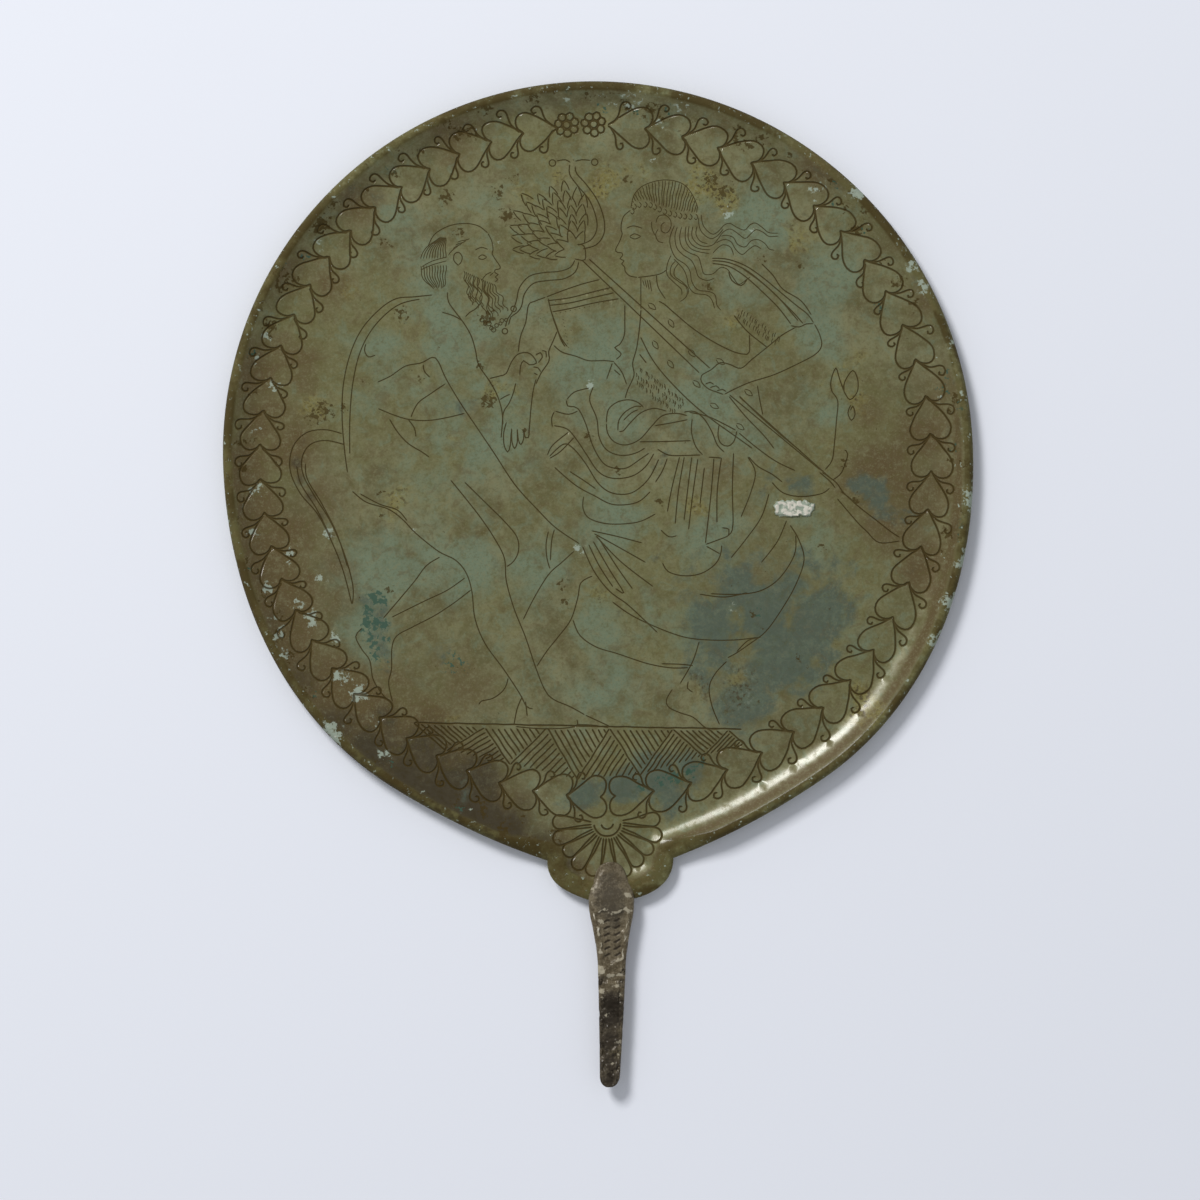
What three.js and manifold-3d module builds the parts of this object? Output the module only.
// Etruscan hand mirror: one bronze casting with a shallow round disc, a raised rim, a neck with two round
// shoulders and a tapering tang. It lies on its reflecting side with the engraved side up.
// Millimetres, +Z up. The origin is the middle of the small flat spot that the mirror rests on, and the tang
// points along -Y.
import * as THREE from "three";
import { mergeVertices } from "three/addons/utils/BufferGeometryUtils.js";
import Module from "manifold-3d";

// Outline of the disc
const DISC_RADIUS = 79.9; // of the upper half
const LOWER_FULLNESS = 3.5; // how much wider the lower half is cast
const FULLNESS_SPAN_DEG = 55; // the turn over which it widens, from the sides down
const FLANK_FLARE = 3.6; // how far the flanks run out towards the neck
const FLARE_SPAN_DEG = 33; // where that starts, measured from the neck
const OVALITY = 0.42; // the disc is pulled out by this much along one slant and in along the other

// Neck and shoulders
const NECK_HALF_WIDTH = 13.45;
const SHOULDER_RADIUS = 8.3;
const NECK_BLEND_DEG = 8; // turn over which the disc's rim becomes the shoulders' softer edge

// Plate
const FIELD_HEIGHT = 2.5; // of the flat engraved field above the table
const UNDERSIDE_RISE = 1.3; // how far the convex reflecting side has risen at the edge
const REST_RADIUS = 22; // of the flat spot in the middle of the reflecting side

// Rim, on the disc and on the shoulders
const RIM_HEIGHT = 2.1;
const SHOULDER_RIM_HEIGHT = 1.3;
const CREST_DEPTH = 1.9; // from the outline in to the rim's crest
const SHOULDER_CREST_DEPTH = 3.6;
const COVE_DEPTH = 8; // from the outline in to where the hollow inner slope meets the field
const SHOULDER_COVE_DEPTH = 7.6;
const COVE_POWER = 3; // steep under the crest, flat at the field

// Tang
const TANG_LENGTH = 40; // below the shoulders
const TONGUE_LENGTH = 8; // how far its rounded root runs up over the palmette
const TANG_ROOT_WIDTH = 9.4;
const TANG_WAIST_WIDTH = 6;
const TANG_WAIST_AT = 15; // below the shoulders
const TANG_TIP_WIDTH = 4.2;
const TANG_FRONT_HEIGHT = 5; // of its flat front above the table
const TANG_ROOT_THICKNESS = 2.9;
const TANG_TIP_THICKNESS = 1.7;
const TANG_CHAMFER = 0.6;
const TANG_BEND = 1.6; // how far the tip has been bent to the left

// Engraved lines
const LINE_WIDTH = 0.5;
const LINE_DEPTH = 0.22;
const CUTTER_CLEARANCE = 0.4; // how far the cutting wedge stands above the surface

// Ivy wreath, two branches that rise from the palmette
const LEAVES_ON_RIGHT = 27;
const LEAVES_ON_LEFT = 30;
const LEAF_OVERLAP = 1.12; // a leaf's length over the distance from one leaf to the next
const LEAF_WIDTH = 8.4;
const WREATH_INSET = 8.3; // from the outline of the upper half in to the line through the leaves
const WREATH_DROP = 1; // how much wider it is at the bottom, and narrower at the top
const WREATH_SHIFT = 0.45; // how far it is set to the left
const WREATH_END_DEG = 175; // the turn at which each branch ends, short of the berries at the top

// Palmette on the neck
const PALMETTE_ABOVE_NECK = 7.6; // from the neck's narrow place up to the hub
const HUB_RADIUS = 2.7;
const PETALS = 11;
const PETAL_LENGTH = 8.6;
const PETAL_WIDTH = 3;
const PETAL_FOOT = 0.7; // width of a petal where it leaves the hub
const PETAL_START = 4.9; // from the hub's middle
const FAN_DEG = 184;

// Picture: its ground and its figures are drawn in a circle of this radius, and fitted to the disc
const DRAWN_RADIUS = 66;
const PICTURE_INSET = 13.9; // from the outline of the upper half in to that circle

// Ground under the figures, as drawn: a line over a band of zigzag
const GROUND_HEIGHT = -57.6; // under the middle of the disc
const GROUND_SLOPE_DEG = -2.9;
const GROUND_LEFT = -41;
const GROUND_RIGHT = 29;
const ZIGZAG_LEFT = -26;
const ZIGZAG_PITCH = 13.3;
const ZIGZAG_TURNS = 4;
const ZIGZAG_REACH = 67.8; // of its lower points from the middle of the disc

// How finely the round forms are faceted
const DISC_FACETS = 51;
const SHOULDER_FACETS = 4;

const BRONZE = { color: 0x6d6840, roughness: 0.42, metalness: 0.65 };

const radians = THREE.MathUtils.degToRad;
const lerp = THREE.MathUtils.lerp;
const smooth = (t) => THREE.MathUtils.smoothstep(t, 0, 1);

// The outline's distance from the middle. The turn is measured from the tang, positive towards +X.
function outlineRadius(turn) {
  const fromNeck = Math.abs(THREE.MathUtils.radToDeg(turn));
  const fuller = smooth((90 - fromNeck) / FULLNESS_SPAN_DEG);
  const flare = Math.max(0, 1 - fromNeck / FLARE_SPAN_DEG);
  const flareAtNeck = 1 - neckTurnDeg() / FLARE_SPAN_DEG;
  return (
    DISC_RADIUS +
    LOWER_FULLNESS * fuller +
    FLANK_FLARE * (flare / flareAtNeck) ** 2 +
    OVALITY * Math.sin(2 * turn)
  );
}

// The turn at which the outline reaches the neck's narrow place.
function neckTurnDeg() {
  const reach = DISC_RADIUS + LOWER_FULLNESS + FLANK_FLARE;
  return THREE.MathUtils.radToDeg(Math.asin(NECK_HALF_WIDTH / reach));
}

function polar(turn, radius) {
  return new THREE.Vector2(Math.sin(turn) * radius, -Math.cos(turn) * radius);
}

const neckTurn = radians(neckTurnDeg());
const neckY = polar(neckTurn, outlineRadius(neckTurn)).y;
const shoulderY = neckY - SHOULDER_RADIUS;

// The closed outline, anticlockwise from the middle of the bottom, round the right shoulder first.
function outlinePoints() {
  const points = [new THREE.Vector2(0, shoulderY)];
  const corner = NECK_HALF_WIDTH - SHOULDER_RADIUS;
  for (let i = 0; i < SHOULDER_FACETS; i++) {
    const a = (i / SHOULDER_FACETS) * (Math.PI / 2);
    const x = corner + SHOULDER_RADIUS * Math.sin(a);
    points.push(new THREE.Vector2(x, neckY - SHOULDER_RADIUS * Math.cos(a)));
  }
  for (let i = 0; i <= DISC_FACETS; i++) {
    const turn = lerp(neckTurn, 2 * Math.PI - neckTurn, i / DISC_FACETS);
    const signed = turn > Math.PI ? turn - 2 * Math.PI : turn;
    points.push(polar(turn, outlineRadius(signed)));
  }
  for (let i = SHOULDER_FACETS - 1; i >= 0; i--) {
    const mirrored = points[i + 1].clone();
    mirrored.x *= -1;
    points.push(mirrored);
  }
  return points;
}

// Each point's direction inwards, square to the outline.
function inwardNormals(points) {
  return points.map((_, i) => {
    const before = points[(i + points.length - 1) % points.length];
    const after = points[(i + 1) % points.length];
    const along = after.clone().sub(before).normalize();
    return new THREE.Vector2(-along.y, along.x);
  });
}

const outline = outlinePoints();
const inwards = inwardNormals(outline);

// 0 on the disc, 1 on the shoulders.
function neckness(point) {
  const turn = THREE.MathUtils.radToDeg(Math.abs(Math.atan2(point.x, -point.y)));
  return smooth((neckTurnDeg() + NECK_BLEND_DEG - turn) / NECK_BLEND_DEG);
}

function rimAt(point) {
  const k = neckness(point);
  return {
    crest: lerp(CREST_DEPTH, SHOULDER_CREST_DEPTH, k),
    cove: lerp(COVE_DEPTH, SHOULDER_COVE_DEPTH, k),
    height: lerp(RIM_HEIGHT, SHOULDER_RIM_HEIGHT, k),
  };
}

function undersideHeight(r) {
  const beyond = Math.max(0, r - REST_RADIUS) / (DISC_RADIUS - REST_RADIUS);
  return UNDERSIDE_RISE * beyond ** 2;
}

// How far the rim stands above the field, at a share of the way from the crest in to the field.
const coveHeight = (height, share) => height * (1 - share) ** COVE_POWER;

// One ring of the casting: the outline moved inwards, at a height worked out for each of its points.
function ring(depthOf, heightOf) {
  return outline.map((point, i) => {
    const rim = rimAt(point);
    const moved = point.clone().addScaledVector(inwards[i], depthOf(rim));
    return new THREE.Vector3(moved.x, moved.y, heightOf(rim, moved.length()));
  });
}

// A closed solid from rings that run from the underside's middle over the edge to the top's middle.
function loft(rings, bottom, top) {
  const n = rings[0].length;
  const vertices = [bottom, ...rings.flat(), top];
  const faces = [];
  for (let i = 0; i < n; i++) {
    const j = (i + 1) % n;
    faces.push(0, 1 + j, 1 + i);
    for (let k = 0; k + 1 < rings.length; k++) {
      const low = 1 + k * n;
      const high = low + n;
      faces.push(low + i, low + j, high + j, low + i, high + j, high + i);
    }
    const last = 1 + (rings.length - 1) * n;
    faces.push(last + i, last + j, vertices.length - 1);
  }
  const geometry = new THREE.BufferGeometry().setFromPoints(vertices);
  geometry.setIndex(faces);
  return geometry;
}

// The disc with its neck, before it is engraved.
function castingGeometry() {
  const crestHeight = (rim) => FIELD_HEIGHT + rim.height;
  const middle = (rim, r) => lerp(undersideHeight(r), crestHeight(rim, r), 0.45);
  const rings = [];
  const flatSpot = outline.map((p) => p.clone().setLength(REST_RADIUS));
  rings.push(flatSpot.map((p) => new THREE.Vector3(p.x, p.y, 0)));
  const underHalf = (REST_RADIUS + DISC_RADIUS) / 2;
  rings.push(
    outline.map((p) => {
      const q = p.clone().setLength(underHalf);
      return new THREE.Vector3(q.x, q.y, undersideHeight(underHalf));
    }),
  );
  rings.push(ring((rim) => rim.crest, (rim, r) => undersideHeight(r)));
  rings.push(ring((rim) => rim.crest * 0.2, (rim, r) => lerp(undersideHeight(r), middle(rim, r), 0.35)));
  rings.push(ring(() => 0, middle));
  for (const share of [0.25, 0.6, 1]) {
    const rise = Math.sqrt(1 - (1 - share) ** 2);
    rings.push(
      ring((rim) => rim.crest * share, (rim, r) => lerp(middle(rim, r), crestHeight(rim, r), rise)),
    );
  }
  for (const share of [0.16, 0.46, 1]) {
    rings.push(
      ring(
        (rim) => lerp(rim.crest, rim.cove, share),
        (rim) => FIELD_HEIGHT + coveHeight(rim.height, share),
      ),
    );
  }
  return loft(rings, new THREE.Vector3(0, 0, 0), new THREE.Vector3(0, 0, FIELD_HEIGHT));
}

// The tang's half width at a distance below the shoulders; negative is up on the palmette.
function tangHalfWidth(below) {
  if (below < TANG_WAIST_AT) {
    const t = smooth(Math.max(0, below) / TANG_WAIST_AT);
    return lerp(TANG_ROOT_WIDTH, TANG_WAIST_WIDTH, t) / 2;
  }
  const t = (below - TANG_WAIST_AT) / (TANG_LENGTH - TANG_WAIST_AT);
  return lerp(TANG_WAIST_WIDTH, TANG_TIP_WIDTH, t) / 2;
}

// The tang and its tongue: sections with chamfered corners, rounded off at both ends.
function tangGeometry() {
  const stations = [];
  for (const share of [1, 0.92, 0.6]) {
    const narrow = Math.sqrt(1 - (share * 0.97) ** 2);
    stations.push([-TONGUE_LENGTH * share, tangHalfWidth(0) * narrow]);
  }
  for (const share of [0, 0.06, 0.18, 0.375, 0.7, 0.93]) {
    stations.push([TANG_LENGTH * share, tangHalfWidth(TANG_LENGTH * share)]);
  }
  stations.push([TANG_LENGTH * 0.98, tangHalfWidth(TANG_LENGTH) * 0.7]);
  stations.push([TANG_LENGTH, tangHalfWidth(TANG_LENGTH) * 0.25]);
  const rings = stations.map(([below, half]) => {
    const down = Math.max(0, below) / TANG_LENGTH;
    const thick = lerp(TANG_ROOT_THICKNESS, TANG_TIP_THICKNESS, down);
    const chamfer = Math.min(TANG_CHAMFER, half * 0.6);
    const drift = -TANG_BEND * down ** 1.5;
    const y = shoulderY - below;
    const top = TANG_FRONT_HEIGHT;
    const base = top - thick;
    const corners = [
      [half - chamfer, base],
      [half, base + chamfer],
      [half, top - chamfer],
      [half - chamfer, top],
      [chamfer - half, top],
      [-half, top - chamfer],
      [-half, base + chamfer],
      [chamfer - half, base],
    ];
    return corners.map(([x, z]) => new THREE.Vector3(x + drift, y, z));
  });
  const middleOf = (points) =>
    points.reduce((sum, p) => sum.add(p), new THREE.Vector3()).divideScalar(points.length);
  return loft(rings, middleOf(rings[0]), middleOf(rings[rings.length - 1]));
}

// Height of the engraved side at a point, for the cutter to follow.
function engravedHeight(point) {
  let depth = Infinity;
  let nearest = outline[0];
  for (let i = 0; i < outline.length; i++) {
    const a = outline[i];
    const along = outline[(i + 1) % outline.length].clone().sub(a);
    const t = THREE.MathUtils.clamp(point.clone().sub(a).dot(along) / along.lengthSq(), 0, 1);
    const foot = a.clone().addScaledVector(along, t);
    const distance = foot.distanceTo(point);
    if (distance < depth) {
      depth = distance;
      nearest = foot;
    }
  }
  const rim = rimAt(nearest);
  const share = THREE.MathUtils.clamp((depth - rim.crest) / (rim.cove - rim.crest), 0, 1);
  return FIELD_HEIGHT + coveHeight(rim.height, share);
}

// A wedge that cuts one engraved line along a path of points in plan, which closes when its ends meet.
function cutter(path) {
  const closed = path[0].distanceTo(path[path.length - 1]) < 1e-6;
  const points = closed ? path.slice(1) : path;
  const n = points.length;
  const reach = ((LINE_WIDTH / 2) * (LINE_DEPTH + CUTTER_CLEARANCE)) / LINE_DEPTH;
  const corners = points.flatMap((p, i) => {
    const before = points[closed ? (i + n - 1) % n : Math.max(0, i - 1)];
    const after = points[closed ? (i + 1) % n : Math.min(n - 1, i + 1)];
    const arriving = p.clone().sub(before).normalize();
    const leaving = after.clone().sub(p).normalize();
    const along = arriving.clone().add(leaving).normalize();
    const mitre = Math.max(0.5, along.dot(p === before ? leaving : arriving));
    const side = new THREE.Vector2(-along.y, along.x).multiplyScalar(reach / mitre);
    const z = engravedHeight(p);
    return [
      new THREE.Vector3(p.x, p.y, z - LINE_DEPTH),
      new THREE.Vector3(p.x + side.x, p.y + side.y, z + CUTTER_CLEARANCE),
      new THREE.Vector3(p.x - side.x, p.y - side.y, z + CUTTER_CLEARANCE),
    ];
  });
  const faces = closed ? [] : [0, 2, 1, 3 * n - 3, 3 * n - 2, 3 * n - 1];
  for (let k = 0; k < (closed ? n : n - 1); k++) {
    for (let i = 0; i < 3; i++) {
      const a = 3 * k + i;
      const b = 3 * k + ((i + 1) % 3);
      const c = (b + 3) % (3 * n);
      const d = (a + 3) % (3 * n);
      faces.push(a, b, c, a, c, d);
    }
  }
  const geometry = new THREE.BufferGeometry().setFromPoints(corners);
  geometry.setIndex(faces);
  return geometry;
}

// An ivy leaf's edge, from its notch round both lobes to the notch: x across, y from the lobes to the tip.
function leafEdge() {
  const w = LEAF_WIDTH / 2;
  const at = (x, y) => new THREE.Vector2(x * w, y);
  const lobe = new THREE.CubicBezierCurve(at(0, 0.12), at(0.12, -0.07), at(1, -0.12), at(1, 0.32));
  const side = new THREE.CubicBezierCurve(at(1, 0.32), at(1, 0.56), at(0.3, 0.72), at(0, 1));
  const half = [...lobe.getPoints(2), ...side.getPoints(2).slice(1)];
  const other = half.slice(0, -1).map((p) => new THREE.Vector2(-p.x, p.y));
  return [...half, ...other.reverse()];
}

// A point of the wreath by its turn from the palmette, on the right or the left branch, and its place across.
function wreathPoint(hand, turn, across) {
  const middle = DISC_RADIUS - WREATH_INSET;
  const radius = middle + WREATH_DROP * Math.cos(turn) - WREATH_SHIFT * hand * Math.sin(turn);
  return polar(hand * turn, radius + across);
}

function wreathPaths() {
  const edge = leafEdge();
  const paths = [];
  for (const [hand, leaves] of [[1, LEAVES_ON_RIGHT], [-1, LEAVES_ON_LEFT]]) {
    const pitch = radians(WREATH_END_DEG) / leaves;
    for (let k = 0; k < leaves; k++) {
      paths.push(edge.map((p) => wreathPoint(hand, pitch * (k + (p.y - 0.12) * LEAF_OVERLAP), p.x)));
    }
  }
  return paths;
}

function palmettePaths() {
  const hub = new THREE.Vector2(0, neckY + PALMETTE_ABOVE_NECK);
  const paths = [];
  for (let k = 0; k < PETALS; k++) {
    const turn = radians(FAN_DEG * (k / (PETALS - 1) - 0.5));
    const out = polar(turn, 1);
    const across = new THREE.Vector2(-out.y, out.x);
    const place = (x, y) => hub.clone().addScaledVector(across, x).addScaledVector(out, y);
    const w = PETAL_WIDTH / 2;
    const far = HUB_RADIUS + PETAL_LENGTH;
    const path = [place(PETAL_FOOT / 2, PETAL_START)];
    for (let i = 0; i <= 3; i++) {
      const a = (i / 3) * Math.PI;
      path.push(place(w * Math.cos(a), far - w + w * Math.sin(a)));
    }
    path.push(place(-PETAL_FOOT / 2, PETAL_START));
    paths.push(path);
  }
  for (const r of [HUB_RADIUS, HUB_RADIUS / 2]) {
    const arc = [-90, -30, 30, 90].map((deg) => hub.clone().add(polar(radians(deg), r)));
    paths.push(arc);
  }
  return paths;
}

function groundPaths() {
  const slope = Math.tan(radians(GROUND_SLOPE_DEG));
  const onLine = (x) => new THREE.Vector2(x, GROUND_HEIGHT + slope * x);
  const paths = [[onLine(GROUND_LEFT), onLine(GROUND_RIGHT)]];
  for (let k = 0; k < ZIGZAG_TURNS; k++) {
    const x = ZIGZAG_LEFT + k * ZIGZAG_PITCH;
    const low = new THREE.Vector2(x + ZIGZAG_PITCH / 2, 0);
    low.y = -Math.sqrt(ZIGZAG_REACH ** 2 - low.x ** 2);
    paths.push([onLine(x), low, onLine(x + ZIGZAG_PITCH)]);
  }
  return paths;
}

// The figures as jointed forms: each joint of a limb is [x, y, half width] in the drawn picture.
const STOOPING_FIGURE = {
  trunk: [[-34, 35, 3.5], [-39, 24, 11.5], [-41, 8, 12], [-41, -5, 10]],
  arm: [[-31, 27, 4.5], [-22, 13, 3.2], [-17, 3, 2.6]],
  frontLeg: [[-36, -4, 9], [-24, -17, 5], [-22, -30, 4], [-16, -46, 2.4], [-6, -54, 1.6]],
  rearLeg: [[-38, -16, 6], [-47, -34, 4.6], [-46, -50, 1.8]],
  tail: [[-54, 6, 1], [-63, 5, 1.4], [-62, -8, 1.4], [-55, -22, 1.2], [-54, -32, 0.6]],
};
const SEATED_FIGURE = {
  trunk: [[14, 36, 3.6], [12, 26, 11], [11, 12, 11], [16, -2, 13]],
  nearArm: [[24, 34, 5], [43, 27, 4.6], [27, 15, 2.6]],
  farArm: [[0, 31, 4.4], [-9, 31, 3.4], [-15, 21, 2.4]],
  farLeg: [[18, -6, 11], [-4, -17, 6], [-11, -32, 3.6], [-16, -44, 2]],
  nearLeg: [[30, -14, 13], [34, -32, 8], [20, -44, 4.5], [16, -55, 2]],
};
const HEADS = [
  { at: [-27.5, 42], radius: 7.6 },
  { at: [14.5, 46], radius: 8.6 },
];
const STAFF = [[-4, 44, 1], [58, -18, 1]];
const STAFF_CONE = [[-3, 43, 1.4], [-9, 50, 6.4], [-17, 57, 1.6]];
const HEAD_FACETS = 7;

// The two edges of a limb.
function limbPaths(joints) {
  const points = joints.map(([x, y]) => new THREE.Vector2(x, y));
  const edges = [[], []];
  points.forEach((p, i) => {
    const before = points[Math.max(0, i - 1)];
    const after = points[Math.min(points.length - 1, i + 1)];
    const along = after.clone().sub(before).normalize();
    const side = new THREE.Vector2(-along.y, along.x).multiplyScalar(joints[i][2]);
    edges[0].push(p.clone().add(side));
    edges[1].push(p.clone().sub(side));
  });
  return edges;
}

function headPath({ at, radius }) {
  const path = [];
  for (let i = 0; i <= HEAD_FACETS; i++) {
    path.push(polar((2 * Math.PI * i) / HEAD_FACETS, radius).add(new THREE.Vector2(...at)));
  }
  return path;
}

function figurePaths() {
  const limbs = [...Object.values(STOOPING_FIGURE), ...Object.values(SEATED_FIGURE), STAFF, STAFF_CONE];
  return [...limbs.flatMap(limbPaths), ...HEADS.map(headPath)];
}

function picturePaths() {
  const scale = (DISC_RADIUS - PICTURE_INSET) / DRAWN_RADIUS;
  return [...groundPaths(), ...figurePaths()].map((points) => points.map((p) => p.multiplyScalar(scale)));
}

const wasm = await Module();
wasm.setup();

function solid(geometry) {
  const bare = new THREE.BufferGeometry();
  bare.setAttribute("position", geometry.getAttribute("position"));
  bare.setIndex(geometry.index);
  const merged = mergeVertices(bare, 1e-4);
  return new wasm.Manifold(
    new wasm.Mesh({
      numProp: 3,
      vertProperties: merged.attributes.position.array,
      triVerts: new Uint32Array(merged.index.array),
    }),
  );
}

function geometryOf(manifold) {
  const mesh = manifold.getMesh();
  const positions = new Float32Array(mesh.numVert * 3);
  for (let i = 0; i < mesh.numVert; i++) {
    const start = i * mesh.numProp;
    positions.set(mesh.vertProperties.subarray(start, start + 3), i * 3);
  }
  const geometry = new THREE.BufferGeometry();
  geometry.setAttribute("position", new THREE.BufferAttribute(positions, 3));
  geometry.setIndex(new THREE.BufferAttribute(mesh.triVerts, 1));
  geometry.computeVertexNormals();
  return geometry;
}

function mirrorGeometry() {
  const paths = [...wreathPaths(), ...palmettePaths(), ...picturePaths()];
  let engraved = solid(castingGeometry());
  for (const path of paths) engraved = engraved.subtract(solid(cutter(path)));
  return geometryOf(engraved.add(solid(tangGeometry())));
}

const mirror = new THREE.Mesh(mirrorGeometry(), new THREE.MeshStandardMaterial(BRONZE));
mirror.name = "mirror";

const part = new THREE.Group();
part.add(mirror);

export default part;
